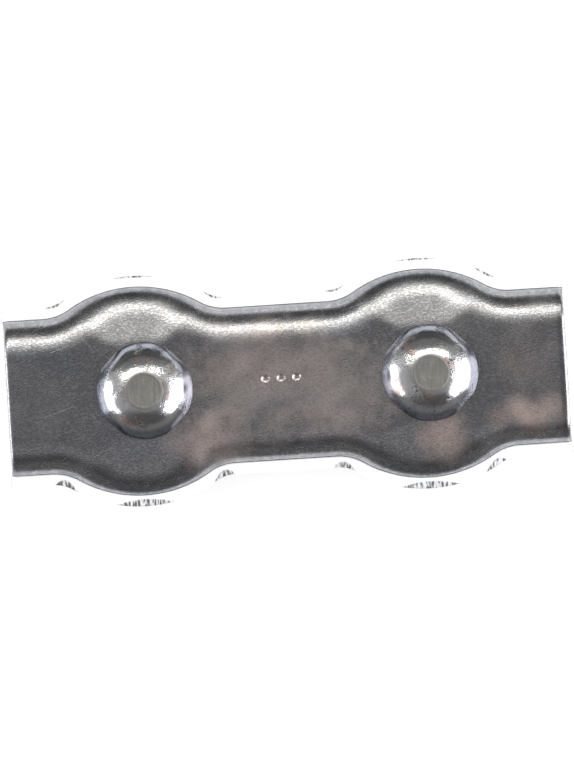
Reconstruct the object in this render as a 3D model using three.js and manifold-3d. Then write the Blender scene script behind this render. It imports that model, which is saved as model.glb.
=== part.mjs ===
// Duplex wire rope clip for two 3 mm ropes, in millimetres, +Z up.
// Two pressed steel plates face each other and nest: the head plate on top, with its flanges down, inside
// the nut plate below it, with its flanges up. Two ropes lie side by side between the plates, one on each
// side of two M4 bolts, and the plates widen into a lobe at each bolt so that the ropes bend round it.
// The bolts' round heads sit on the head plate, their square necks stop them turning, and a hex nut on
// each bolt draws the nut plate up. The clip stands on its bolt ends at z = 0; x runs along the ropes and
// x = 0, y = 0 is midway between the bolts. It is drawn with the nuts backed off to let the ropes in.
import * as THREE from "three";
import { mergeVertices } from "three/addons/utils/BufferGeometryUtils.js";
import Module from "manifold-3d";

const wasm = await Module();
wasm.setup();

// Driving dimensions.
const SHEET = 0.7;
const BOLT_SPACING = 19.2;
const BOLT_LENGTH = 12; // under the head
const HEAD_PLATE_LENGTH = 37.7;
const NUT_PLATE_LENGTH = 38;
const NECK_HALF_WIDTH = 5.2; // of the head plate; the nut plate's outline stands outside it
const LOBE_HALF_WIDTH = 7;
const LOBE_RADIUS = 8.2;
const LOBE_SHIFT = -0.4; // the pressed lobes sit this far along x from the bolts
const NECK_FILLET_RADIUS = 3.3;
const BEND_ACROSS = 2.6; // the rolled edge is a quarter of an ellipse, this wide on its outer face
const BEND_DOWN = 2; // and this deep
const ROPE_GAP = 4.4; // between the plates' inner faces
const HEAD_FLANGE = 1.6; // flange height inside each plate, from its inner face
const NUT_FLANGE = 3.1;
const SIDE_CLEARANCE = 0.08; // between the nested flanges
const SEAT_GAP = 0.05; // between pieces that rest on each other

const SHANK_RADIUS = 1.95;
const SHANK_CHAMFER = 0.4;
const NECK_SIDE = 4;
const NECK_HOLE_SIDE = 4.2;
const SHANK_HOLE_RADIUS = 2.25;
const HEAD_RADIUS = 3.25;
const HEAD_FLAT_RADIUS = 1.2;
const HEAD_HEIGHT = 2;
const HEAD_RIM = 0.3; // height of the head's upright edge
const NUT_ACROSS_FLATS = 7;
const NUT_HEIGHT = 3.2;
const NUT_BORE_RADIUS = 2.05;
const NUT_CHAMFER = THREE.MathUtils.degToRad(30);
const LEFT_NUT_TURN = THREE.MathUtils.degToRad(12);
const RIGHT_NUT_TURN = THREE.MathUtils.degToRad(37);

// Facets.
const LOBE_STEPS = 12;
const FILLET_STEPS = 4;
const BEND_STEPS = 5;
const ROUND_STEPS = 32;
const DOME_STEPS = 6;

// Heights, worked down from the heads' seat, and the nut plate's growth.
const HEAD_SEAT = BOLT_LENGTH;
const HEAD_PLATE_TOP = HEAD_SEAT - SEAT_GAP;
const HEAD_PLATE_INSIDE = HEAD_PLATE_TOP - SHEET;
const NUT_PLATE_BOTTOM = HEAD_PLATE_INSIDE - ROPE_GAP - SHEET;
const NUT_PLATE_GROWTH = SIDE_CLEARANCE + SHEET;

const zinc = (name, color, roughness) =>
  new THREE.MeshStandardMaterial({ name, color, roughness, metalness: 0.9 });
const headPlateZinc = zinc("head_plate_zinc", 0x7d7c80, 0.42);
const nutPlateZinc = zinc("nut_plate_zinc", 0x8c8c90, 0.4);
const boltZinc = zinc("bolt_zinc", 0xa9aaac, 0.25);
const nutZinc = zinc("nut_zinc", 0x9a9b9e, 0.3);

// --- Solids ---

// A three.js geometry as a manifold-3d solid.
function solid(geometry) {
  const bare = geometry.clone();
  bare.deleteAttribute("normal");
  bare.deleteAttribute("uv");
  const merged = mergeVertices(bare, 1e-5);
  return new wasm.Manifold(
    new wasm.Mesh({
      numProp: 3,
      vertProperties: new Float32Array(merged.attributes.position.array),
      triVerts: new Uint32Array(merged.index.array),
    }),
  );
}

// A manifold-3d solid as a flat-shaded three.js geometry.
function geometryOf(made) {
  const mesh = made.getMesh();
  const geometry = new THREE.BufferGeometry();
  geometry.setAttribute("position", new THREE.BufferAttribute(mesh.vertProperties, 3));
  geometry.setIndex(new THREE.BufferAttribute(mesh.triVerts, 1));
  const flat = geometry.toNonIndexed();
  flat.computeVertexNormals();
  return flat;
}

// A solid of revolution about z, from [radius, z] points that run up the outside from axis to axis.
function turned(profile) {
  const points = profile.map(([r, z]) => new THREE.Vector2(r, z));
  return solid(new THREE.LatheGeometry(points, ROUND_STEPS).rotateX(Math.PI / 2));
}

// A cylinder between two heights, with its axis upright through (x, 0).
function upright(radius, low, high, x = 0, sides = ROUND_STEPS) {
  const geometry = new THREE.CylinderGeometry(radius, radius, high - low, sides);
  return solid(geometry.rotateX(Math.PI / 2).translate(x, 0, (low + high) / 2));
}

// A square prism with its corners on the x and y directions.
function squareNeck(side, low, high, x = 0) {
  const geometry = new THREE.BoxGeometry(side, side, high - low);
  return solid(geometry.rotateZ(Math.PI / 4).translate(x, 0, (low + high) / 2));
}

// --- Plates ---

// One side of the head plate's outline, from its -x end to its +x end: a straight neck at each end and in
// the middle, and a lobe at each bolt that runs into the necks by fillets. Each station is a point with
// its outward normal, given as an angle from +y.
function outline(halfLength) {
  const lobeY = LOBE_HALF_WIDTH - LOBE_RADIUS; // heights of the arcs' centres
  const filletY = NECK_HALF_WIDTH + NECK_FILLET_RADIUS;
  const reach = LOBE_RADIUS + NECK_FILLET_RADIUS;
  const lean = Math.acos((filletY - lobeY) / reach); // the steepest slope, where lobe and fillet meet
  const filletX = reach * Math.sin(lean);
  const stations = [];
  const add = (x, y, angle) => stations.push({ x, y, nx: Math.sin(angle), ny: Math.cos(angle) });
  const fillet = (centreX, from, to) => {
    for (let i = 0; i <= FILLET_STEPS; i++) {
      const angle = THREE.MathUtils.lerp(from, to, i / FILLET_STEPS);
      const x = centreX - NECK_FILLET_RADIUS * Math.sin(angle);
      add(x, filletY - NECK_FILLET_RADIUS * Math.cos(angle), angle);
    }
  };
  add(-halfLength, NECK_HALF_WIDTH, 0);
  for (const side of [-1, 1]) {
    const lobeX = LOBE_SHIFT + (side * BOLT_SPACING) / 2;
    fillet(lobeX - filletX, 0, -lean);
    for (let i = 1; i < LOBE_STEPS; i++) {
      const angle = THREE.MathUtils.lerp(-lean, lean, i / LOBE_STEPS);
      add(lobeX + LOBE_RADIUS * Math.sin(angle), lobeY + LOBE_RADIUS * Math.cos(angle), angle);
    }
    fillet(lobeX + filletX, lean, 0);
  }
  add(halfLength, NECK_HALF_WIDTH, 0);
  return stations;
}

// A plate's section as [distance out from the outline, depth below the floor's outer face]: from the
// floor's outer edge round the bend and down the flange, then back up its inside in the same steps.
function section(depth) {
  const outer = [];
  const inner = [];
  for (let i = 0; i <= BEND_STEPS; i++) {
    const angle = (i / BEND_STEPS) * (Math.PI / 2);
    const out = BEND_ACROSS * (Math.sin(angle) - 1);
    const down = BEND_DOWN * (1 - Math.cos(angle));
    const normal = new THREE.Vector2(Math.sin(angle) / BEND_ACROSS, Math.cos(angle) / BEND_DOWN).normalize();
    outer.push([out, down]);
    inner.unshift([out - SHEET * normal.x, down + SHEET * normal.y]);
  }
  return [...outer, [0, depth], [-SHEET, depth], ...inner];
}

// A pressed plate with its flanges down and its floor's outer face at z = 0: the section is carried along
// both sides of the outline, and a flat floor joins the two sides.
function pressedPlate({ length, growth, depth }) {
  const stations = outline(length / 2);
  const profile = section(depth);
  const last = profile.length - 1;
  const positions = [];
  // A four-sided patch; its corners run anticlockwise seen from outside, unless it is flipped.
  const patch = ([a, b, c, d], flipped) => {
    const corners = flipped ? [a, c, b, a, d, c] : [a, b, c, a, c, d];
    corners.forEach((corner) => positions.push(...corner));
  };
  const point = ({ x, y, nx, ny }, k, side) => {
    const out = profile[k][0] + growth;
    return [x + out * nx, side * (y + out * ny), -profile[k][1]];
  };
  for (let j = 0; j + 1 < stations.length; j++) {
    const [a, b] = [stations[j], stations[j + 1]];
    for (const side of [-1, 1]) {
      for (let k = 0; k < last; k++) {
        const corners = [point(a, k, side), point(b, k, side), point(b, k + 1, side), point(a, k + 1, side)];
        patch(corners, side < 0);
      }
    }
    for (const k of [0, last]) {
      patch([point(a, k, 1), point(a, k, -1), point(b, k, -1), point(b, k, 1)], k === last);
    }
  }
  for (const [station, isRight] of [[stations[0], false], [stations[stations.length - 1], true]]) {
    for (const side of [-1, 1]) {
      for (let k = 0; k <= BEND_STEPS; k++) {
        const corners = [k, k + 1, last - k - 1, last - k].map((n) => point(station, n, side));
        patch(corners, (side < 0) !== isRight);
      }
    }
    const floorEnd = [point(station, 0, 1), point(station, last, 1), point(station, last, -1), point(station, 0, -1)];
    patch(floorEnd, isRight);
  }
  const geometry = new THREE.BufferGeometry();
  geometry.setAttribute("position", new THREE.BufferAttribute(new Float32Array(positions), 3));
  return solid(geometry);
}

// The head plate, with a square hole for each bolt's neck.
function headPlate() {
  let plate = pressedPlate({ length: HEAD_PLATE_LENGTH, growth: 0, depth: SHEET + HEAD_FLANGE });
  for (const x of [-BOLT_SPACING / 2, BOLT_SPACING / 2]) {
    plate = plate.subtract(squareNeck(NECK_HOLE_SIDE, -SHEET - 1, 1, x));
  }
  return geometryOf(plate);
}

// The nut plate, turned over so that its flanges point up, with a round hole for each bolt's shank.
function nutPlate() {
  const size = { length: NUT_PLATE_LENGTH, growth: NUT_PLATE_GROWTH, depth: SHEET + NUT_FLANGE };
  let plate = pressedPlate(size).rotate([180, 0, 0]);
  for (const x of [-BOLT_SPACING / 2, BOLT_SPACING / 2]) {
    plate = plate.subtract(upright(SHANK_HOLE_RADIUS, -1, SHEET + 1, x));
  }
  return geometryOf(plate);
}

// --- Fasteners ---

// A bolt on its own axis, standing on its end at z = 0: chamfered shank, square neck and domed head.
function bolt() {
  const rise = HEAD_HEIGHT - HEAD_RIM;
  const centre = HEAD_RIM - (HEAD_RADIUS ** 2 - HEAD_FLAT_RADIUS ** 2 - rise ** 2) / (2 * rise);
  const domeRadius = Math.hypot(HEAD_FLAT_RADIUS, HEAD_HEIGHT - centre); // the centre is above the seat
  const from = Math.asin(HEAD_RADIUS / domeRadius);
  const to = Math.asin(HEAD_FLAT_RADIUS / domeRadius);
  const profile = [
    [0, 0],
    [SHANK_RADIUS - SHANK_CHAMFER, 0],
    [SHANK_RADIUS, SHANK_CHAMFER],
    [SHANK_RADIUS, HEAD_SEAT],
    [HEAD_RADIUS, HEAD_SEAT],
  ];
  for (let i = 0; i <= DOME_STEPS; i++) {
    const angle = THREE.MathUtils.lerp(from, to, i / DOME_STEPS);
    profile.push([domeRadius * Math.sin(angle), HEAD_SEAT + centre + domeRadius * Math.cos(angle)]);
  }
  profile.push([0, HEAD_SEAT + HEAD_HEIGHT]);
  const neck = squareNeck(NECK_SIDE, HEAD_PLATE_INSIDE, HEAD_SEAT + HEAD_RIM / 2);
  return geometryOf(turned(profile).add(neck));
}

// A hex nut on its own axis, with its upper face at z = 0 and both faces chamfered.
function hexNut() {
  const corner = NUT_ACROSS_FLATS / 2 / Math.cos(Math.PI / 6);
  const face = NUT_ACROSS_FLATS / 2 - 0.1; // radius of the round bearing face
  const wide = corner + 0.2;
  const drop = (wide - face) * Math.tan(NUT_CHAMFER);
  const envelope = turned([
    [0, -NUT_HEIGHT],
    [face, -NUT_HEIGHT],
    [wide, drop - NUT_HEIGHT],
    [wide, -drop],
    [face, 0],
    [0, 0],
  ]);
  const prism = upright(corner, -NUT_HEIGHT, 0, 0, 6);
  const bore = upright(NUT_BORE_RADIUS, -NUT_HEIGHT - 1, 1);
  return geometryOf(prism.intersect(envelope).subtract(bore));
}

// --- Assembly ---

// A named mesh in its own copy of its colour, placed along x and z and turned about z.
function piece(name, geometry, material, { x = 0, z = 0, turn = 0 }) {
  const mesh = new THREE.Mesh(geometry, material.clone());
  mesh.name = name;
  mesh.position.set(x, 0, z);
  mesh.rotation.z = turn;
  return mesh;
}

const clip = new THREE.Group();
const lower = new THREE.Group(); // the nut plate and its nuts, which travel together
lower.position.z = NUT_PLATE_BOTTOM;
clip.add(lower);

clip.add(piece("head_plate", headPlate(), headPlateZinc, { z: HEAD_PLATE_TOP }));
lower.add(piece("nut_plate", nutPlate(), nutPlateZinc, {}));
const boltGeometry = bolt();
const nutGeometry = hexNut();
for (const [side, x, turn] of [
  ["left", -BOLT_SPACING / 2, LEFT_NUT_TURN],
  ["right", BOLT_SPACING / 2, RIGHT_NUT_TURN],
]) {
  clip.add(piece(`bolt_${side}`, boltGeometry, boltZinc, { x }));
  lower.add(piece(`nut_${side}`, nutGeometry, nutZinc, { x, z: -SEAT_GAP, turn }));
}

export default clip;
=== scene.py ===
"""A duplex wire rope clip in zinc-plated steel: its looks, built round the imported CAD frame.

Each CAD node is replaced by a finer piece of the same size: the two pressed plates with rolled and sheared
edges, the bolts with their formed heads and rolled threads, and the hex nuts with threads of their own.
Sizes are in millimetres in this file, apart from the lights' and the floor's, and a mesh is scaled to metres
as it is made.
"""

import math
from collections import namedtuple
from functools import reduce

import bmesh
import bpy
import numpy as np
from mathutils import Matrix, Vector, noise

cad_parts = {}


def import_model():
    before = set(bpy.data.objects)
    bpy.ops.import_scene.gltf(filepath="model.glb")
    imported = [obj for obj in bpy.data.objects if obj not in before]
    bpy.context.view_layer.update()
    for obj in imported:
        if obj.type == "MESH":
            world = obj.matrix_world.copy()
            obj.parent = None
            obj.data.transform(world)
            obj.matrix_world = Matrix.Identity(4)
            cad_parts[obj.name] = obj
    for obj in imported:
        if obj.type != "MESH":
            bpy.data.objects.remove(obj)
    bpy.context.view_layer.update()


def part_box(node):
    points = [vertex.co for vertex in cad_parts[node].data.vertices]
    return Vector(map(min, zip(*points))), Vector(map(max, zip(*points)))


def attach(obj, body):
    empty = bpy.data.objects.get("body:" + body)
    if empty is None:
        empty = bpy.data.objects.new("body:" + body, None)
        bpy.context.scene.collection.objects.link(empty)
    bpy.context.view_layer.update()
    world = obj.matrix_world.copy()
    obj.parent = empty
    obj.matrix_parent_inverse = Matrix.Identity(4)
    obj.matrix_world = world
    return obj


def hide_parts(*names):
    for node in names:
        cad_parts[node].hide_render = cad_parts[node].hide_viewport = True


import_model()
MM = 0.001

# --- Sizes: the pieces' places come from the frame, and the rest are the clip's own dimensions ---


def box_mm(node):
    """A CAD node's lowest and highest corner, in millimetres."""
    low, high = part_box(node)
    return np.array(low) / MM, np.array(high) / MM


HEAD_LOW, HEAD_HIGH = box_mm("head_plate")
RIM_LOW, RIM_HIGH = box_mm("nut_plate")
BOLT_X = {side: float(np.mean(np.array(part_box(f"bolt_{side}"))[:, 0]) / MM) for side in ("left", "right")}
BOLT_SPACING = BOLT_X["right"] - BOLT_X["left"]
SMOOTH_ANGLE = 38  # degrees between faces that are still shaded as one surface

# The plates' outline: straight necks, with a round lobe at each bolt.
SHEET = 0.7
NECK_HALF_WIDTH = 5.2
NECK_FILLET = 3.3
LOBE_HALF_WIDTH = HEAD_HIGH[1]
LOBE_RADIUS = 8.2
LOBE_SHIFT = -0.4  # the lobes stand a little to the left of their bolts
STATION_GAP = 0.1  # between the close stations at a plate's end and the even ones along it

# The plates' section: a flat floor, a slope at the lobes, an elliptical bend, a flange and its sheared rim.
BEND_ACROSS = 2.6
BEND_DOWN = 2.0
LOBE_SOFTENING = 0.8  # the bend is this much wider at a lobe, where the sheet was drawn further
SHOULDER_WIDTH = 0.95  # and the floor slopes down a little to the bend from beside the bolt's head
SHOULDER_EASE = 0.9  # the slope comes on gradually over this width
SHOULDER_SLOPE = 0.24
HEAD_PLATE_DRAWN = 1.0  # how far a plate's lobes take on that wider bend and that slope
NUT_PLATE_DRAWN = 0.3  # less, which leaves room for the head plate when the clip is closed
RIM_ROUND = 0.1  # the rounding of the sheared rim's outer edge
RIM_BREAK = 0.05  # and of its inner edge
RIM_CROWN = 0.025  # the rim's middle stands this much proud
BURR = 0.055  # the nut plate's rim stands this much closer to the head plate than its flange
CORNER = 0.42  # how far the flanges' corners are rounded
END_ROLL = (0.34, 0.28)  # shearing from outside rolled a plate's end over: how far along, and how deep
ROLL_LOST = 0.65  # the share of that roll which is lost on the way down to the flange
END_BREAK = 0.06  # the rounding of an end's inner edge
FLOOR_WAVE = 0.03  # the head plate is untrue by up to this much
WAVE_SEED = 3.7

# The three punched dots, and the torn patches along the nut plate's rim.
MARK_X, MARK_Y = -0.4, 0.25
DOT_PITCH = 1.05
PUNCH_RADIUS = 0.42
PUNCH_HEIGHT = 0.26  # of the round punch's middle over the floor when it is deepest
TEAR_DEPTH = 0.1
LOBE_TEARS = ((-1, (2.0, 0.5)), (1, (1.6, 0.16)))  # on each side of a lobe: half the length, and the width
FILLET_TEARS_X = (-15.3, -4.6, 3.5, 13.7)
FILLET_TEAR_REACH = 0.75

THREAD_PITCH = 0.7
THREAD_STEP = THREAD_PITCH / 14  # between rings of points
THREAD_DEPTH = 0.4
THREAD_CLEARANCE = 0.06
SHANK_RADIUS = 1.95
SHANK_HOLE_RADIUS = 2.25
END_RADIUS = 1.45  # of a bolt's dished end, inside its chamfer
END_DISH = 0.03
NECK_SIDE = 4.0
NECK_HOLE_SIDE = 4.12
NECK_CORNER = 2.68  # the square neck's corners are turned down to this radius
NECK_LENGTH = 0.78
HEAD_SEAT = HEAD_HIGH[2] + 0.05
HEAD_TOP = box_mm("bolt_left")[1][2]
HEAD_RADIUS = 3.25
HEAD_ROUNDING = 0.16  # of the edge between the seat and the side
HEAD_RIM = 0.3  # the dome begins this far above the seat
HEAD_FLATS = 0.955  # how far the outline's flats are from the axis, as a share of the radius
HEAD_FLAT_RADIUS = 1.18
HEAD_DISH = 0.012

NUT_ACROSS_FLATS = 7.0
NUT_CORNER = NUT_ACROSS_FLATS / 2 / math.cos(math.pi / 6) - 0.04  # the radius over the broken corners
NUT_FACE_RADIUS = NUT_ACROSS_FLATS / 2 - 0.1  # of the round face inside the chamfer
NUT_CHAMFER = math.tan(math.radians(30))
NUT_MOUTH = 2.2  # the radius of the countersink
NUT_TURN = {"left": 12, "right": 37}  # degrees
NUT_FLAT_TONES = np.array([0.15, 0.8, 0.35, 1.0, 0.0, 0.6])  # how dark each flat is, partly the plating's own tone and partly painted shade

# --- Meshes ---


def piece(name, vertices, faces, body, material, nodes, sharp=SMOOTH_ANGLE):
    """A smooth-shaded mesh in metres that rides a body and stands for its CAD node."""
    mesh = bpy.data.meshes.new(name)
    mesh.from_pydata((np.asarray(vertices) * MM).tolist(), [], faces)
    mesh.validate()
    mesh.shade_smooth()
    mesh.set_sharp_from_angle(angle=math.radians(sharp))
    mesh.materials.append(material)
    shown = bpy.data.objects.new(name, mesh)
    bpy.context.scene.collection.objects.link(shown)
    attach(shown, body)
    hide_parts(*nodes)
    return shown


def paint(shown, name, value):
    """A float attribute on a mesh's points, from a function of their coordinates in millimetres."""
    co = np.zeros(len(shown.data.vertices) * 3, np.float32)
    shown.data.vertices.foreach_get("co", co)
    attribute = shown.data.attributes.new(name, "FLOAT", "POINT")
    attribute.data.foreach_set("value", value(co.reshape(-1, 3) / MM).astype(np.float32))


def smoothstep(low, high, value):
    """0 up to low and 1 from high on, with a smooth rise between them."""
    t = np.clip((value - low) / (high - low), 0, 1)
    return t * t * (3 - 2 * t)


def cut(shown, cutters):
    """Cuts closed bmesh-made solids out of a piece, with the result applied to its mesh."""
    for index, cutter in enumerate(cutters):
        mesh = bpy.data.meshes.new(f"cutter_{index}")
        cutter.to_mesh(mesh)
        cutter.free()
        tool = bpy.data.objects.new(mesh.name, mesh)
        bpy.context.scene.collection.objects.link(tool)
        modifier = shown.modifiers.new("cut", "BOOLEAN")
        modifier.operation = "DIFFERENCE"
        modifier.solver = "EXACT"
        modifier.object = tool
        bpy.context.view_layer.update()
        evaluated = shown.evaluated_get(bpy.context.evaluated_depsgraph_get())
        result = bpy.data.meshes.new_from_object(evaluated)
        shown.modifiers.clear()
        shown.data = result
        bpy.data.objects.remove(tool)
    shown.data.shade_smooth()
    shown.data.set_sharp_from_angle(angle=math.radians(SMOOTH_ANGLE))


def upright_prism(radius, sides, x, low, high):
    """A closed prism about a bolt's axis, as a bmesh, for cutting a hole."""
    made = bmesh.new()
    width, depth = radius * MM, (high - low) * MM
    bmesh.ops.create_cone(made, cap_ends=True, segments=sides, radius1=width, radius2=width, depth=depth)
    bmesh.ops.translate(made, verts=made.verts, vec=Vector((x, 0, (low + high) / 2)) * MM)
    return made


# --- The pressed plates ---

# A place where a plate's sheared rim has torn: its x, the side of the clip, half its length, and its width.
Tear = namedtuple("Tear", "x side reach width")


def turned(tear):
    """The same tear seen with the plate upside down, as it is made."""
    return tear._replace(side=-tear.side)


def plate_outline(half_length):
    """Stations along one side of the head plate's outline: x, y, normal's angle from +y, and how far into a
    lobe, from 0 to 1. The last few at each end are close together, for its rolled edge and its corners."""
    lobe_y = LOBE_HALF_WIDTH - LOBE_RADIUS
    fillet_y = NECK_HALF_WIDTH + NECK_FILLET
    reach = LOBE_RADIUS + NECK_FILLET
    lean = math.acos((fillet_y - lobe_y) / reach)
    fillet_x = reach * math.sin(lean)
    rows = []

    def straight(start, end):
        for x in np.linspace(start, end, max(2, round(abs(end - start) / 0.25)))[:-1]:
            rows.append((x, NECK_HALF_WIDTH, 0.0))

    def fillet(centre_x, start, end):
        for angle in np.linspace(start, end, 15)[:-1]:
            x = centre_x - NECK_FILLET * math.sin(angle)
            rows.append((x, fillet_y - NECK_FILLET * math.cos(angle), angle))

    def lobe_arc(centre_x):
        for angle in np.linspace(-lean, lean, 61)[:-1]:
            x = centre_x + LOBE_RADIUS * math.sin(angle)
            rows.append((x, lobe_y + LOBE_RADIUS * math.cos(angle), angle))

    ends = half_length - CORNER + CORNER * np.sin(np.linspace(0, math.pi / 2, 13))
    rows += [(-x, NECK_HALF_WIDTH, 0.0) for x in ends[::-1]]
    start = -half_length + CORNER + STATION_GAP
    for side in (-1, 1):
        lobe_x = LOBE_SHIFT + side * BOLT_SPACING / 2
        straight(start, lobe_x - fillet_x)
        fillet(lobe_x - fillet_x, 0.0, -lean)
        lobe_arc(lobe_x)
        fillet(lobe_x + fillet_x, lean, 0.0)
        start = lobe_x + fillet_x
    straight(start, half_length - CORNER - STATION_GAP)
    rows += [(x, NECK_HALF_WIDTH, 0.0) for x in ends]
    table = np.array(rows)
    lobe = smoothstep(0, 1, (table[:, 1] - NECK_HALF_WIDTH) / (LOBE_HALF_WIDTH - NECK_HALF_WIDTH))
    return np.column_stack([table, lobe])


def eased(along):
    """How far a slope has fallen for each unit of steepness, along it from its gradual start."""
    return np.where(along < SHOULDER_EASE, along**2 / (2 * SHOULDER_EASE), along - SHOULDER_EASE / 2)


def bend_start(slope, across, start):
    """Where a bend takes over from a slope that begins a distance in from the flange: the angle round the
    bend, the fall to there, and the bend's own height, so that it always ends at the same depth."""
    height = BEND_DOWN
    for _ in range(12):
        t = math.atan(slope * across / height)
        fall = slope * eased(start - across * (1 - math.sin(t)))
        height = (BEND_DOWN - fall) / math.cos(t)
    return t, fall, height


def slope_pairs(slope, start, end):
    """The floor's edge and the slope beside a bolt's head, as pairs of [out, down] points on the plate's
    outer and inner faces."""
    pairs = [([-start, 0], [-start, SHEET])]
    for out in np.linspace(start, end, 14)[1:-1]:
        point = np.array([-out, slope * eased(start - out)])
        steepness = slope * min(1, (start - out) / SHOULDER_EASE)
        pairs.append((point, point + SHEET * np.array([-steepness, 1]) / math.hypot(steepness, 1)))
    return pairs


def bend_pairs(across, height, begin, fall):
    """The same round the elliptical bend, from the angle where it takes over from the slope."""
    pairs = []
    for t in np.linspace(begin, math.pi / 2, 20):
        normal = np.array([math.sin(t) / across, math.cos(t) / height])
        normal /= np.linalg.norm(normal)
        point = np.array([across * (math.sin(t) - 1), fall + height * (math.cos(begin) - math.cos(t))])
        pairs.append((point, point + SHEET * np.array([-normal[0], normal[1]])))
    return pairs


def flange_pairs(depth):
    """The same down the flange and round its sheared rim, almost to the middle of the rim."""
    wall_end = depth - RIM_CROWN - RIM_ROUND
    pairs = [([0, down], [-SHEET, down]) for down in np.linspace(BEND_DOWN, wall_end, 4)[1:]]
    for t in np.linspace(0, math.pi / 2, 6)[1:]:
        down, slide = wall_end + RIM_ROUND * math.sin(t), 1 - math.cos(t)
        pairs.append(([-slide * RIM_ROUND, down], [-SHEET + slide * RIM_BREAK, down]))
    last = 0.9  # of the way to the middle, where one more face joins the two sides
    for t in np.linspace(0, last, 5)[1:]:
        down = depth - RIM_CROWN + RIM_CROWN * t * (2 - t) / (last * (2 - last))
        outer = -RIM_ROUND - (SHEET / 2 - RIM_ROUND) * t
        inner = -SHEET + RIM_BREAK + (SHEET / 2 - RIM_BREAK) * t
        pairs.append(([outer, down], [inner, down]))
    return pairs


def plate_section(lobe, depth, burr):
    """One side of a plate's section, as arrays of [out, down] for its outer and its inner face, from the
    floor's edge down the slope and round the bend to the middle of the sheared rim, which is crowned."""
    across = BEND_ACROSS + LOBE_SOFTENING * lobe
    slope, start = SHOULDER_SLOPE * lobe, across + SHOULDER_WIDTH * max(0.1, lobe)
    begin, fall, height = bend_start(slope, across, start)
    pairs = slope_pairs(slope, start, across * (1 - math.sin(begin)))
    pairs += bend_pairs(across, height, begin, fall) + flange_pairs(depth)
    outer, inner = (np.array(points, float) for points in zip(*pairs))
    near_rim = smoothstep(depth - 0.5, depth - 0.1, inner[:, 1])
    inner[:, 0] -= burr * near_rim * smoothstep(-SHEET / 2, -SHEET, inner[:, 0])
    return outer, inner


def quarter_round(radius, from_end):
    """How far a corner of a radius has fallen away at a distance from the end."""
    over = min(radius, max(0.0, radius - from_end))
    return radius - math.sqrt(radius * radius - over * over)


def torn_back(down, out, x, depth, tear):
    """How far down a profile reaches at x, once a tear has taken the outer part of its rim back a little."""
    near = smoothstep(1, 0, abs(x - tear.x) / tear.reach)
    outside = smoothstep(-tear.width - 0.1, 0, out)
    return down - TEAR_DEPTH * near * outside * smoothstep(depth - 0.5, depth, down)


def points_across(place, profile, growth, depth, rounded, tears):
    """One face's points across the whole plate at a station of its outline, from rim to rim. The flanges are
    shorter by as much as the plate's corners are rounded there."""
    x, y, angle = place
    sides = []
    for side in (-1, 1):
        out = profile[:, 0] + growth
        down = profile[:, 1] - rounded * (profile[:, 1] / depth) ** 2
        for tear in tears:
            if tear.side == side:
                down = torn_back(down, profile[:, 0], x, depth, tear)
        sides.append(np.column_stack([x + out * math.sin(angle), side * (y + out * math.cos(angle)), -down]))
    floor = np.linspace(sides[0][0], sides[1][0], 28)[1:-1]
    return np.vstack([sides[0][::-1], floor, sides[1]])


def shell_faces(count, width):
    """The faces of a plate whose outer and inner face are each a grid of points, one after the other: the two
    grids, the rims along both sides and the two ends."""
    shift = count * width
    faces = []
    for i in range(count - 1):
        for k in range(width - 1):
            a, b = i * width + k, (i + 1) * width + k
            faces.append((a, b, b + 1, a + 1))
            faces.append((shift + a, shift + a + 1, shift + b + 1, shift + b))
        a, b = i * width, (i + 1) * width
        faces.append((a, shift + a, shift + b, b))
        a, b = a + width - 1, b + width - 1
        faces.append((a, b, shift + b, shift + a))
    last = (count - 1) * width
    for k in range(width - 1):
        faces.append((k, k + 1, shift + k + 1, shift + k))
        faces.append((last + k + 1, last + k, shift + last + k, shift + last + k + 1))
    return faces


def pressed_plate(half_length, growth, depth, drawn, burr=0.0, tears=()):
    """Vertices and faces of a plate with its floor's outer face at z = 0 and its flanges down. It stands out
    by growth past the head plate's outline on both sides, and drawn is how far its lobes take on their wider
    bend and their slope, from 0 to 1."""
    outer_rows, inner_rows = [], []
    for x, y, angle, lobe in plate_outline(half_length):
        from_end = half_length - abs(x)
        outer, inner = plate_section(lobe * drawn, depth, burr)
        through = (inner - outer) / SHEET
        kept = 1 - ROLL_LOST * smoothstep(0.6, BEND_DOWN, outer[:, 1:])
        roll = quarter_round(END_ROLL[0], from_end) * END_ROLL[1] / END_ROLL[0]
        outer = outer + through * roll * kept
        inner = inner - through * quarter_round(END_BREAK, from_end)
        rounded = quarter_round(CORNER, from_end)
        for rows, profile in ((outer_rows, outer), (inner_rows, inner)):
            rows.append(points_across((x, y, angle), profile, growth, depth, rounded, tears))
    vertices = np.vstack(outer_rows + inner_rows)
    return vertices, shell_faces(len(outer_rows), len(outer_rows[0]))


def uneven(vertices, depth, seed):
    """Sinks points by up to a depth with a slow noise, as a pressed sheet is never quite true."""
    moved = vertices.copy()
    for row in moved:
        wave = noise.noise(Vector((row[0] * 0.22 + seed, row[1] * 0.3, row[2] * 0.3)))
        row[2] += depth * (0.5 * wave - 0.5)
    return moved


def torn_rim(tears, half_length, growth):
    """A paint function that is 1 where the sheared rim has torn: lens-shaped patches on its outer part."""
    outline = plate_outline(half_length)

    def value(co):
        torn = np.zeros(len(co))
        for tear in tears:
            near = (abs(co[:, 0] - tear.x) < tear.reach) & (co[:, 1] * tear.side > 0)
            rows = np.nonzero(near & (co[:, 2] > RIM_HIGH[2] - 0.3))[0]
            for row in rows:
                x, y = co[row, 0], abs(co[row, 1])
                inside = growth - np.min(np.hypot(outline[:, 0] - x, outline[:, 1] - y))
                width = tear.width * (1 - ((x - tear.x) / tear.reach) ** 2)
                torn[row] = smoothstep(width + 0.05, width - 0.08, inside)
        return torn

    return value


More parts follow.
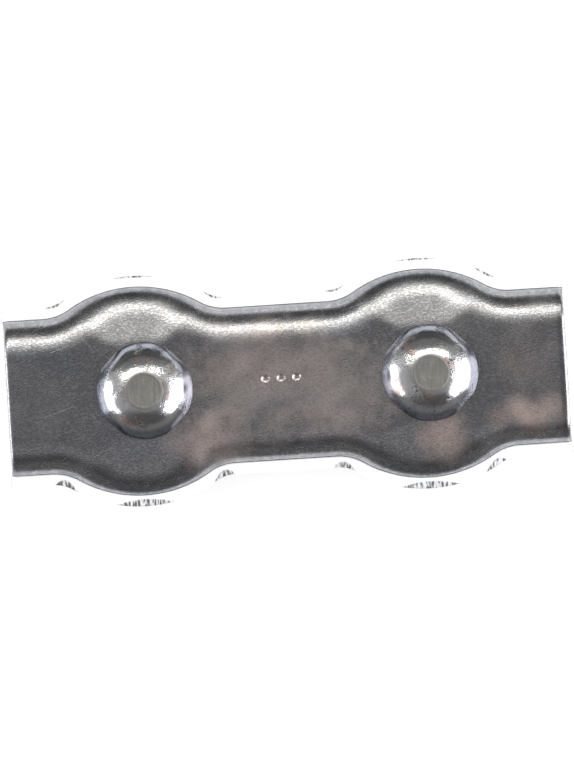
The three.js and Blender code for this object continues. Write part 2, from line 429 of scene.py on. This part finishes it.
def edge_values(half_length, rim_z, toward):
    """A paint function that is 1 on a plate's sheared rim, less on its duller ends, and 0 elsewhere."""

    def value(co):
        rim = smoothstep(-0.3, -0.16, toward * (co[:, 2] - rim_z))
        ends = 0.45 * smoothstep(half_length - 0.02, half_length - 0.004, abs(co[:, 0]))
        return np.maximum(rim, ends)

    return value


def punched_dot(x, y, surface):
    """The round punch that leaves a shallow dimple in the head plate."""
    made = bmesh.new()
    bmesh.ops.create_uvsphere(made, u_segments=40, v_segments=24, radius=PUNCH_RADIUS * MM)
    bmesh.ops.translate(made, verts=made.verts, vec=Vector((x, y, surface + PUNCH_HEIGHT)) * MM)
    return made


# --- The bolts and nuts ---


def thread_radius(phi, z):
    """A right-hand rolled thread's radius at an angle and height, with a flat crest and a rounded root."""
    phase = (z / THREAD_PITCH - phi / (2 * math.pi)) % 1.0
    flank = np.clip(abs(phase - 0.5) * 2, 0, 1)  # 1 at the crest, 0 in the root
    return SHANK_RADIUS - THREAD_DEPTH * (1 - smoothstep(0.08, 0.88, flank))


def ring_faces(rows, closed):
    """Faces between rings of points, each ring to the next, and the last to the first if they close."""
    count, around = len(rows), len(rows[0])
    faces = []
    last = count if closed else count - 1
    for i in range(last):
        for k in range(around):
            a, b = i * around, ((i + 1) % count) * around
            n = (k + 1) % around
            faces.append((a + k, a + n, b + n, b + k))
    return faces


def from_side(phi):
    """The angle from the middle of the nearest side of the square neck, whose corners lie along x and y."""
    return phi % (math.pi / 2) - math.pi / 4


def head_outline(phi):
    """The head's outline as a share of its radius: four slight flats over the square neck's sides, blended
    into the round."""
    flat = HEAD_FLATS / np.cos(from_side(phi))
    blended_at, sharpness = 0.985, 60
    return 1 - np.log1p(np.exp(-(flat - blended_at) * sharpness)) / sharpness


def shank_rings(phi):
    """Rings of (radius, height) arrays up a bolt's dished end, its chamfered thread, whose crests are lower
    where it runs out below the head, and its square neck."""
    ones = np.ones_like(phi)
    rings = [(r * ones, END_DISH * (1 - (r / END_RADIUS) ** 2) * ones) for r in (0.5, 1.0, END_RADIUS)]
    for z in np.arange(0.02, HEAD_SEAT - 1.1, THREAD_STEP):
        chamfer = 1.5 + 1.1 * z
        run_out = SHANK_RADIUS - 0.22 + smoothstep(0, 0.7, HEAD_SEAT - 1.3 - z) * 0.3
        radius = np.minimum(np.minimum(thread_radius(phi, z), chamfer), run_out)
        rings.append((radius, z * ones))
    square = np.minimum(NECK_SIDE / 2 / np.cos(from_side(phi)), NECK_CORNER)
    rings.append((1.75 * ones, (HEAD_SEAT - NECK_LENGTH - 0.07) * ones))
    for z in (HEAD_SEAT - NECK_LENGTH, HEAD_SEAT - NECK_LENGTH + 0.04, HEAD_SEAT):
        rings.append((square, z * ones))
    return rings


def head_rings(phi):
    """Rings of (radius, height) arrays up the formed head: a seat, a rounded edge, a dome and a dull flat
    with turning marks."""
    ones = np.ones_like(phi)
    outline = head_outline(phi)
    side = HEAD_RADIUS - HEAD_ROUNDING
    rings = [(r * (1 - (1 - outline) * (r / HEAD_RADIUS)), HEAD_SEAT * ones) for r in (2.95, side)]
    for t in np.linspace(-math.pi / 2, 0, 6)[1:]:
        r = side + HEAD_ROUNDING * math.cos(t)
        rings.append((r * outline, (HEAD_SEAT + HEAD_ROUNDING + HEAD_ROUNDING * math.sin(t)) * ones))
    rise = HEAD_TOP - HEAD_SEAT - HEAD_RIM
    centre = HEAD_RIM - (HEAD_RADIUS**2 - HEAD_FLAT_RADIUS**2 - rise**2) / (2 * rise)
    dome = math.hypot(HEAD_FLAT_RADIUS, HEAD_TOP - HEAD_SEAT - centre)
    start, end = math.asin(HEAD_RADIUS / dome), math.asin(HEAD_FLAT_RADIUS / dome)
    for t in np.linspace(start, end, 40):
        r = dome * math.sin(t)
        radius = r * (1 - (1 - outline) * (r / HEAD_RADIUS) ** 5)
        rings.append((radius, (HEAD_SEAT + centre + dome * math.cos(t)) * ones))
    for r in np.linspace(HEAD_FLAT_RADIUS - 0.05, 0.04, 24):
        turning_mark = 0.002 * math.sin(r * 26)
        dish = HEAD_DISH * smoothstep(0, 0.2, HEAD_FLAT_RADIUS - r) + turning_mark
        rings.append((r * ones, (HEAD_TOP - dish) * ones))
    return rings


def ring_rows(x, rings, phi):
    """The points of rings of (radius, height) about a bolt's axis."""
    return [np.column_stack([x + r * np.cos(phi), r * np.sin(phi), z]) for r, z in rings]


def bolt(side, material):
    """A bolt as a stack of rings, from a point in the middle of its end to one in the middle of its head."""
    around = 128
    phi = np.arange(around) / around * 2 * math.pi
    x = BOLT_X[side]
    rows = ring_rows(x, shank_rings(phi) + head_rings(phi), phi)
    vertices = np.vstack(rows + [[[x, 0, END_DISH]], [[x, 0, HEAD_TOP - HEAD_DISH]]])
    faces = ring_faces(rows, closed=False)
    end, top = len(vertices) - 2, len(vertices) - 1
    base = (len(rows) - 1) * around
    for k in range(around):
        n = (k + 1) % around
        faces.append((end, n, k))
        faces.append((top, base + k, base + n))
    node = f"bolt_{side}"
    shown = piece(f"{node}_formed", vertices, faces, "head_plate", material, [node])
    paint(shown, "from_axis", lambda co: np.hypot(co[:, 0] - x, co[:, 1]))
    paint(shown, "flat", lambda co: smoothstep(HEAD_TOP - 0.06, HEAD_TOP - 0.01, co[:, 2]))


def nut_rings(phi, turn, bottom, top):
    """Rings of (radius, height) arrays up a nut's chamfered outside and back down its threaded bore."""
    ones = np.ones_like(phi)
    from_flat = (phi - turn + math.pi / 6) % (math.pi / 3) - math.pi / 6
    hexagon = np.minimum(NUT_ACROSS_FLATS / 2 / np.cos(from_flat), NUT_CORNER)
    past_face = hexagon - NUT_FACE_RADIUS
    rings = []
    for z_end, inward in ((bottom, 1), (top, -1)):
        ends = [(r * ones, z_end * ones) for r in np.linspace(NUT_MOUTH, NUT_FACE_RADIUS - 0.04, 5)]
        ends.append((NUT_FACE_RADIUS * ones, (z_end + inward * 0.01) * ones))
        for share in (0.25, 0.5, 0.75, 1.0):
            drop = NUT_CHAMFER * past_face * share
            ends.append((NUT_FACE_RADIUS + past_face * share, z_end + inward * (0.01 + drop)))
        rings += ends if inward > 0 else ends[::-1]
    for z in np.arange(top - 0.06, bottom + 0.05, -THREAD_STEP):
        countersink = NUT_MOUTH - 0.9 * min(top - z, z - bottom)
        radius = np.maximum(thread_radius(phi, z) + THREAD_CLEARANCE, countersink)
        rings.append((radius, z * ones))
    return rings


def flat_tones_and_shades(x, turn):
    """A paint function that gives each of a nut's flats its own darkness, partly the plating's tone and
    partly painted shade, and the rest of it their mean.
    """

    def value(co):
        around_axis = np.arctan2(co[:, 1], co[:, 0] - x) - turn
        which_flat = np.floor(around_axis / (math.pi / 3) + 0.5).astype(int) % 6
        on_flat = np.hypot(co[:, 0] - x, co[:, 1]) > NUT_ACROSS_FLATS / 2 - 0.02
        return np.where(on_flat, NUT_FLAT_TONES[which_flat], NUT_FLAT_TONES.mean())

    return value


def nut(side, material):
    """A hex nut as a closed ring of rings."""
    low, high = box_mm(f"nut_{side}")
    x, turn = BOLT_X[side], math.radians(NUT_TURN[side])
    around = 144
    phi = np.arange(around) / around * 2 * math.pi + turn
    rows = ring_rows(x, nut_rings(phi, turn, low[2], high[2]), phi)
    faces = ring_faces(rows, closed=True)
    body = f"nut_{side}"
    shown = piece(f"nut_{side}_hex", np.vstack(rows), faces, body, material, [body], sharp=24)
    paint(shown, "dull", flat_tones_and_shades(x, turn))


# --- Materials ---


class Nodes:
    """Makes and links nodes in one node tree."""

    def __init__(self, tree):
        self.tree = tree
        self.tree.nodes.clear()

    def node(self, kind, inputs, output=0, **properties):
        """A new node's output. An input is a number, a colour, a vector or another node's output."""
        made = self.tree.nodes.new(kind)
        for key, value in properties.items():
            setattr(made, key, value)
        for key, value in inputs.items():
            self.feed(made.inputs[key], value)
        return made.outputs[output]

    def feed(self, socket, value):
        if isinstance(value, bpy.types.NodeSocket):
            self.tree.links.new(value, socket)
        else:
            socket.default_value = value

    def math(self, operation, *values):
        return self.node("ShaderNodeMath", dict(enumerate(values)), operation=operation)

    def most(self, values):
        """The largest of some values."""
        return reduce(lambda a, b: self.math("MAXIMUM", a, b), values)

    def ramp(self, value, low, high, to_low=0.0, to_high=1.0, interpolation="SMOOTHSTEP"):
        inputs = {"Value": value, "From Min": low, "From Max": high, "To Min": to_low, "To Max": to_high}
        return self.node("ShaderNodeMapRange", inputs, interpolation_type=interpolation)


class Graph(Nodes):
    """The nodes of one material, round a Principled shader."""

    def __init__(self, name):
        self.material = bpy.data.materials.new(name)
        self.material.use_nodes = True
        super().__init__(self.material.node_tree)
        output = self.tree.nodes.new("ShaderNodeOutputMaterial")
        self.shader = self.tree.nodes.new("ShaderNodeBsdfPrincipled")
        self.tree.links.new(self.shader.outputs[0], output.inputs["Surface"])
        place = self.node("ShaderNodeTexCoord", {}, output="Object")
        self.mm = self.node("ShaderNodeVectorMath", {0: place, "Scale": 1 / MM}, operation="SCALE")

    def noise(self, scale, detail=3.0, rough=0.5, vector=None):
        """A noise whose scale is in cycles to the millimetre."""
        inputs = {"Vector": vector or self.mm, "Scale": scale, "Detail": detail, "Roughness": rough}
        return self.node("ShaderNodeTexNoise", inputs)

    def stretched(self, scale, turn):
        """Coordinates in millimetres, turned about z and stretched into streaks."""
        rotation = (0.0, 0.0, math.radians(turn))
        inputs = {"Vector": self.mm, "Rotation": rotation, "Scale": scale}
        return self.node("ShaderNodeMapping", inputs, vector_type="TEXTURE")

    def mix(self, share, a, b):
        """Colour a with a share of colour b. A Mix node's colours are its inputs 6 and 7 and output 2."""
        return self.node("ShaderNodeMix", {0: share, 6: a, 7: b}, output=2, data_type="RGBA")

    def attribute(self, name):
        return self.node("ShaderNodeAttribute", {}, output="Fac", attribute_name=name)

    def near(self, x, y, reach_x, reach_y):
        """1 at a place on the plate, fading raggedly to 0 at an ellipse round it, in millimetres."""
        offset = self.node("ShaderNodeVectorMath", {0: self.mm, 1: (-x, -y, 0.0)}, operation="ADD")
        shares = (1 / reach_x, 1 / reach_y, 0.0)
        flat = self.node("ShaderNodeVectorMath", {0: offset, 1: shares}, operation="MULTIPLY")
        length = self.node("ShaderNodeVectorMath", {0: flat}, output="Value", operation="LENGTH")
        ragged = self.ramp(self.noise(0.8, 4.0, 0.6), 0.3, 0.7, -0.22, 0.22)
        return self.ramp(self.math("ADD", length, ragged), 1.1, 0.1)

    def bump(self, height, depth, normal=None):
        """A bump from a 0 to 1 height, with its depth in millimetres."""
        inputs = {"Height": height, "Distance": depth * MM, "Strength": 1.0}
        if normal is not None:
            inputs["Normal"] = normal
        return self.node("ShaderNodeBump", inputs)


def rgb(red, green, blue):
    """An opaque colour."""
    return (red, green, blue, 1.0)


def plate_tint(g, patches):
    """The plating's colour, with a paler middle, faint blue streaks and pink patches, and how pink it is."""
    pale = g.math("ADD", g.near(0.5, -0.4, 11.0, 4.8), g.ramp(g.noise(0.2, 2.0), 0.3, 0.7, -0.3, 0.3))
    color = g.mix(g.ramp(pale, 0.0, 0.9), rgb(0.41, 0.41, 0.43), rgb(0.72, 0.68, 0.68))
    blue = g.ramp(g.noise(0.3, 2.0, vector=g.stretched((2.0, 1.0, 1.0), 10)), 0.5, 0.68, 0.0, 0.5)
    color = g.mix(blue, color, rgb(0.35, 0.38, 0.45))
    shares = []
    for x, y, reach_x, reach_y, share in patches:
        mottled = g.ramp(g.noise(1.6, 4.0, 0.65), 0.3, 0.65, share * 0.6, share)
        shares.append(g.math("MULTIPLY", g.near(x, y, reach_x, reach_y), mottled))
    pink = g.most(shares)
    return g.mix(pink, color, rgb(0.98, 0.76, 0.69)), pink


def hairline_scratches(g):
    """1 on fine scratches that run in three directions, and 0 elsewhere."""
    lines = []
    for turn, stretch in ((18, 9.0), (-52, 7.0), (84, 10.0)):
        lines.append(g.ramp(g.noise(1.6, 2.0, vector=g.stretched((stretch, 0.11, 1.0), turn)), 0.69, 0.78))
    return g.most(lines)


def dark_end_strip(g, half):
    """1 on a narrow strip across the plate near its right end, and 0 elsewhere."""
    along = g.node("ShaderNodeSeparateXYZ", {0: g.mm}, output="X")
    return g.math("MULTIPLY", g.ramp(along, half - 0.62, half - 0.45), g.ramp(along, half - 0.2, half - 0.3))


def flange_shade(g, floor_z, toward):
    """How much painted shade darkens the plate: none on the floor, and in streaks down the flanges."""
    height = g.node("ShaderNodeSeparateXYZ", {0: g.mm}, output="Z")
    wall = g.ramp(g.math("MULTIPLY", g.math("SUBTRACT", height, floor_z), -toward), 0.6, 1.4)
    drawn = g.noise(2.4, 2.0, vector=g.stretched((1.0, 1.0, 14.0), 0))
    return g.math("MULTIPLY", wall, g.ramp(drawn, 0.35, 0.65, 0.45, 0.85))


def plate_zinc(name, patches, half, floor_z, toward):
    """Satin zinc plate on pressed sheet: a fine grain, hairline scratches, faint pink and blue tints from its
    passivation, painted shade in streaks down the flanges, a darker strip near one end, and rough cut rims,
    near-white and hardly metallic as partly a painted highlight, with torn patches that are dark partly as
    painted shade. toward is 1 if the floor faces up and -1 if it faces down."""
    g = Graph(name)
    grain = g.noise(10.0, 2.0, 0.6, vector=g.stretched((2.0, 1.0, 1.0), 4))
    fine = g.noise(13.0, 2.0, 0.6)
    speckle = g.math("ADD", g.math("MULTIPLY", grain, 0.65), g.math("MULTIPLY", fine, 0.35))
    hairlines = hairline_scratches(g)
    sheared, torn = g.attribute("sheared"), g.attribute("torn")
    streaks = g.ramp(g.noise(2.2, 3.0, vector=g.stretched((0.28, 1.6, 1.0), 0)), 0.36, 0.62)

    color, pink = plate_tint(g, patches)
    color = g.mix(g.ramp(speckle, 0.38, 0.5, 0.42, 0.0), color, rgb(0.20, 0.20, 0.21))
    color = g.mix(g.ramp(speckle, 0.5, 0.62, 0.0, 0.45), color, rgb(0.95, 0.94, 0.93))
    # A darker strip across the plate near its right end.
    color = g.mix(g.math("MULTIPLY", dark_end_strip(g, half), 0.45), color, rgb(0.16, 0.16, 0.17))
    color = g.mix(g.math("MULTIPLY", hairlines, 0.35), color, rgb(0.9, 0.9, 0.9))
    # Painted shade down the flanges, in streaks, dark and a little blue.
    color = g.mix(flange_shade(g, floor_z, toward), color, rgb(0.22, 0.23, 0.26))
    # The rough cut rims are painted near-white and made hardly metallic, partly a painted highlight on the
    # cut metal.
    color = g.mix(sheared, color, rgb(0.97, 0.97, 0.98))
    # The torn patches are dark partly from their rough torn metal and partly as painted shade.
    torn_and_shaded = g.math("MULTIPLY", torn, g.ramp(streaks, 0.0, 1.0, 0.95, 0.3))
    color = g.mix(torn_and_shaded, color, rgb(0.05, 0.055, 0.065))
    g.feed(g.shader.inputs["Base Color"], color)
    g.feed(g.shader.inputs["Metallic"], g.ramp(sheared, 0.0, 1.0, 1.0, 0.1))

    rough = g.ramp(g.noise(0.5, 3.0), 0.3, 0.7, 0.20, 0.30)
    rough = g.math("ADD", rough, g.ramp(speckle, 0.36, 0.66, 0.04, -0.04))
    for share in (g.math("MULTIPLY", pink, 0.24), g.math("MULTIPLY", hairlines, 0.12)):
        rough = g.math("ADD", rough, share)
    g.feed(g.shader.inputs["Roughness"], g.math("MAXIMUM", rough, g.math("MULTIPLY", sheared, 0.8)))

    normal = g.bump(g.noise(0.9, 2.0), 0.014)
    normal = g.bump(speckle, 0.0105, normal)
    normal = g.bump(hairlines, -0.002, normal)
    normal = g.bump(g.math("MULTIPLY", torn, streaks), 0.08, normal)
    g.feed(g.shader.inputs["Normal"], normal)
    return g.material


def bolt_zinc():
    """Bright zinc plate on the formed heads and threads, with painted shade, dark and bluish, round the
    heads' edges, clusters of fine pits and pinkish smudges, and a dull flat on top."""
    g = Graph("bolt_bright_zinc")
    flat, radius = g.attribute("flat"), g.attribute("from_axis")
    smudge = g.ramp(g.noise(0.75, 3.0, 0.6), 0.52, 0.66)
    color = g.mix(smudge, rgb(0.76, 0.77, 0.78), rgb(0.62, 0.49, 0.45))
    # Painted shade, dark and bluish, round the head's edge, which dims its reflection of the plate there.
    color = g.mix(g.ramp(radius, 2.55, 2.85, 0.0, 0.85), color, rgb(0.26, 0.28, 0.34))
    height = g.node("ShaderNodeSeparateXYZ", {0: g.mm}, output=2)
    color = g.mix(g.ramp(height, HEAD_SEAT - 1, HEAD_SEAT - 1.6), color, rgb(0.38, 0.38, 0.40))
    drawn = g.noise(3.0, 3.0, vector=g.stretched((0.5, 3.0, 1.0), 0))
    color = g.mix(flat, color, g.mix(g.ramp(drawn, 0.3, 0.7), rgb(0.38, 0.38, 0.36), rgb(0.50, 0.49, 0.46)))
    clusters = g.ramp(g.noise(0.8, 2.0, vector=g.stretched((1.0, 1.0, 1.0), 40)), 0.5, 0.62, 0.08, 1.0)
    clusters = g.math("MULTIPLY", clusters, g.ramp(flat, 0.0, 0.5, 1.0, 0.0))
    pits = g.math("MULTIPLY", g.ramp(g.noise(9.0, 2.0), 0.5, 0.4), clusters)
    color = g.mix(g.math("MULTIPLY", pits, 0.7), color, rgb(0.07, 0.07, 0.08))
    rough = g.math("ADD", g.ramp(smudge, 0.0, 1.0, 0.14, 0.28), g.math("MULTIPLY", flat, 0.38))
    rings = g.math("MULTIPLY", g.math("SINE", g.math("MULTIPLY", radius, 30.0)), flat)
    g.feed(g.shader.inputs["Base Color"], color)
    g.feed(g.shader.inputs["Roughness"], rough)
    g.shader.inputs["Metallic"].default_value = 1.0
    normal = g.bump(g.noise(0.8, 3.0, 0.5), 0.035)
    normal = g.bump(g.math("MULTIPLY", g.noise(9.0, 2.0), clusters), 0.016, normal)
    normal = g.bump(pits, -0.006, normal)
    normal = g.bump(g.noise(5.0, 3.0), 0.002, normal)
    normal = g.bump(rings, 0.0004, normal)
    g.feed(g.shader.inputs["Normal"], normal)
    return g.material


def nut_zinc():
    """Bright zinc plate on the nuts, with soft tool marks, and darker on some flats than on others, partly in
    the plating's tone and partly as painted shade.
    """
    g = Graph("nut_bright_zinc")
    marks = g.noise(3.0, 3.0, vector=g.stretched((1.0, 1.0, 0.15), 0))
    color = g.mix(g.ramp(g.noise(0.6, 3.0), 0.4, 0.7), rgb(0.42, 0.43, 0.45), rgb(0.30, 0.30, 0.32))
    color = g.mix(g.ramp(g.noise(5.0, 3.0), 0.45, 0.3, 0.0, 0.6), color, rgb(0.12, 0.12, 0.13))
    # Each flat is darker by its own amount, partly the plating's tone and partly painted shade, as if lit
    # differently.
    color = g.mix(g.ramp(g.attribute("dull"), 0.0, 1.0, 0.0, 0.7), color, rgb(0.13, 0.13, 0.14))
    g.feed(g.shader.inputs["Base Color"], color)
    g.feed(g.shader.inputs["Roughness"], g.ramp(marks, 0.3, 0.7, 0.16, 0.32))
    g.shader.inputs["Metallic"].default_value = 1.0
    g.feed(g.shader.inputs["Normal"], g.bump(marks, 0.006, g.bump(g.noise(0.9, 2.0), 0.02)))
    return g.material


def build_head_plate():
    """The head plate, with its square holes and its punched mark."""
    half, top = HEAD_HIGH[0], HEAD_HIGH[2]
    # Each pink patch: its place, how far it reaches along and across, and how strong it is.
    patches = [
        (-1.0, 1.2, 8.0, 4.0, 0.5),
        (10.3, -4.3, 2.3, 2.4, 0.95),
        (16.4, -3.2, 3.4, 1.7, 0.9),
        (-5.2, -3.6, 3.6, 2.6, 0.8),
        (3.0, -2.0, 6.0, 3.0, 0.4),
        (16.0, 0.5, 3.0, 3.0, 0.3),
    ]
    zinc = plate_zinc("head_plate_satin_zinc", patches, half, top, 1)
    vertices, faces = pressed_plate(half, 0.0, top - HEAD_LOW[2], HEAD_PLATE_DRAWN)
    vertices[:, 2] += top
    vertices = uneven(vertices, FLOOR_WAVE, WAVE_SEED)
    shown = piece("head_plate_pressed", vertices, faces, "head_plate", zinc, ["head_plate"])
    corner = NECK_HOLE_SIDE / math.sqrt(2)
    holes = [upright_prism(corner, 4, x, top - 2, top + 2) for x in BOLT_X.values()]
    dots = [punched_dot(MARK_X + DOT_PITCH * k, MARK_Y, top - 0.02) for k in (-1, 0, 1)]
    cut(shown, holes + dots)
    paint(shown, "sheared", edge_values(half, HEAD_LOW[2], -1))
    paint(shown, "torn", lambda co: np.zeros(len(co)))


def build_nut_plate():
    """The nut plate, with its round holes and its torn rim."""
    half, bottom = RIM_HIGH[0], RIM_LOW[2]
    growth = RIM_HIGH[1] - LOBE_HALF_WIDTH
    tears = [Tear(LOBE_SHIFT + x, side, *size) for x in BOLT_X.values() for side, size in LOBE_TEARS]
    tears += [Tear(x, side, FILLET_TEAR_REACH, 0.3 - 0.12 * side) for x in FILLET_TEARS_X for side in (-1, 1)]
    depth, as_made = RIM_HIGH[2] - bottom, [turned(tear) for tear in tears]
    vertices, faces = pressed_plate(half, growth, depth, NUT_PLATE_DRAWN, BURR, as_made)
    vertices[:, 1:] *= -1  # turned over, so that the flanges point up
    vertices[:, 2] += bottom
    zinc = plate_zinc("nut_plate_satin_zinc", [(2.0, 1.0, 7.0, 4.0, 0.5)], half, bottom, -1)
    shown = piece("nut_plate_pressed", vertices, faces, "nut_plate", zinc, ["nut_plate"])
    cut(shown, [upright_prism(SHANK_HOLE_RADIUS, 96, x, bottom - 1, bottom + 1.5) for x in BOLT_X.values()])
    paint(shown, "sheared", edge_values(half, RIM_HIGH[2], 1))
    paint(shown, "torn", torn_rim(tears, half, growth))


build_head_plate()
build_nut_plate()
BOLT_ZINC, NUT_ZINC = bolt_zinc(), nut_zinc()
for which in ("left", "right"):
    bolt(which, BOLT_ZINC)
    nut(which, NUT_ZINC)

# --- Stage, light and camera ---


def floor():
    """A plain pale table, lit from below round the clip, so that it stays white in the clip's own shadow."""
    bpy.ops.mesh.primitive_plane_add(size=2.0, location=(0, 0, 0))
    table = bpy.context.object
    table.name = "floor"
    g = Graph("floor_white")
    g.shader.inputs["Base Color"].default_value = rgb(0.55, 0.55, 0.55)
    g.shader.inputs["Roughness"].default_value = 0.9
    g.shader.inputs["Emission Color"].default_value = rgb(1.0, 1.0, 1.0)
    distance = g.node("ShaderNodeVectorMath", {0: g.mm}, output="Value", operation="LENGTH")
    g.feed(g.shader.inputs["Emission Strength"], g.ramp(distance, 36, 120, 0.5, 0.1))
    table.data.materials.append(g.material)


def flag(name, y, low, high, tone):
    """A dark card that stands beside the clip, only seen in its reflections, where it darkens the edges."""
    middle = Vector((0, y, (low + high) / 2)) * MM
    bpy.ops.mesh.primitive_plane_add(size=1.0, location=middle, rotation=(math.pi / 2, 0, 0))
    card = bpy.context.object
    card.name = name
    card.scale = (120 * MM, (high - low) * MM, 1)
    card.visible_camera = False
    card.visible_diffuse = False
    card.visible_shadow = False
    g = Graph(f"{name}_card")
    g.shader.inputs["Base Color"].default_value = rgb(tone, tone, tone)
    card.data.materials.append(g.material)


def softbox(name, direction, off_vertical, distance, size, radiance, tint=(1.0, 1.0, 1.0), mirrored=True):
    """A soft rectangular light that faces the clip. direction is an angle from +x, in degrees, and the
    radiance is what a reflection of it shows, if it is mirrored in bright metal at all."""
    a, t = math.radians(direction), math.radians(off_vertical)
    place = Vector((math.cos(a) * math.sin(t), math.sin(a) * math.sin(t), math.cos(t))) * distance
    light = bpy.data.lights.new(name, "AREA")
    light.shape = "RECTANGLE"
    light.size, light.size_y = size
    light.energy = radiance * math.pi * size[0] * size[1]
    light.color = tint
    lamp = bpy.data.objects.new(name, light)
    lamp.location = place
    lamp.rotation_euler = (-place).to_track_quat("-Z", "Y").to_euler()
    lamp.visible_glossy = mirrored
    bpy.context.scene.collection.objects.link(lamp)


def world():
    """A dim studio, brighter low down at the sides than overhead and behind, and darker in front."""
    made = bpy.data.worlds.new("studio")
    bpy.context.scene.world = made
    made.use_nodes = True
    g = Nodes(made.node_tree)
    direction = g.node("ShaderNodeTexCoord", {}, output="Generated")
    x, y, z = (g.node("ShaderNodeSeparateXYZ", {0: direction}, output=axis) for axis in "XYZ")
    overhead = g.ramp(z, 0.25, 0.95, 0.16, 0.2, "LINEAR")
    in_front = g.ramp(y, -0.8, -0.55, 0.5, 1.0, "LINEAR")
    sideways = g.ramp(g.math("ABSOLUTE", x), 0.5, 1.0, 0.0, 0.35, "LINEAR")
    strength = g.math("ADD", g.math("MULTIPLY", overhead, in_front), sideways)
    shown = g.node("ShaderNodeBackground", {"Color": rgb(1.0, 0.985, 1.0), "Strength": strength})
    output = g.tree.nodes.new("ShaderNodeOutputWorld")
    g.feed(output.inputs["Surface"], shown)


def camera():
    """Straight above the clip at half a metre, rolled so that the clip's right end rises in the frame."""
    view_width, distance, roll = 38.6, 500.0, math.radians(-3.6)
    made = bpy.data.objects.new("camera", bpy.data.cameras.new("camera"))
    made.data.sensor_fit = "HORIZONTAL"
    made.data.angle = 2 * math.atan(view_width / 2 / distance)
    made.data.clip_start = 0.01
    made.location = Vector((-0.02, -0.05, HEAD_HIGH[2] - 1 + distance)) * MM
    made.rotation_euler = (0, 0, roll)
    bpy.context.scene.collection.objects.link(made)
    bpy.context.scene.camera = made


floor()
flag("back_flag", 28, 8, 20, 0.06)
flag("front_flag", -28, 0, 20, 0.15)
softbox("overhead_fill", 0, 0, 1.0, (1.0, 1.0), 3.2, mirrored=False)
softbox("back_strip", 95, 42.5, 0.55, (1.0, 0.14), 2.8, (1.0, 0.99, 0.91))
softbox("back_glow", 95, 31, 0.8, (1.4, 0.3), 0.42, (1.0, 0.99, 0.93))
softbox("front_glow", 270, 34, 0.8, (1.4, 0.35), 0.1)
softbox("left_wall", 190, 82, 0.5, (0.5, 0.2), 3.4, (0.97, 0.98, 1.0))
softbox("right_wall", 345, 72, 0.5, (0.58, 0.34), 3.4, (0.97, 0.98, 1.0))
world()
camera()
bpy.context.scene.view_settings.view_transform = "Standard"
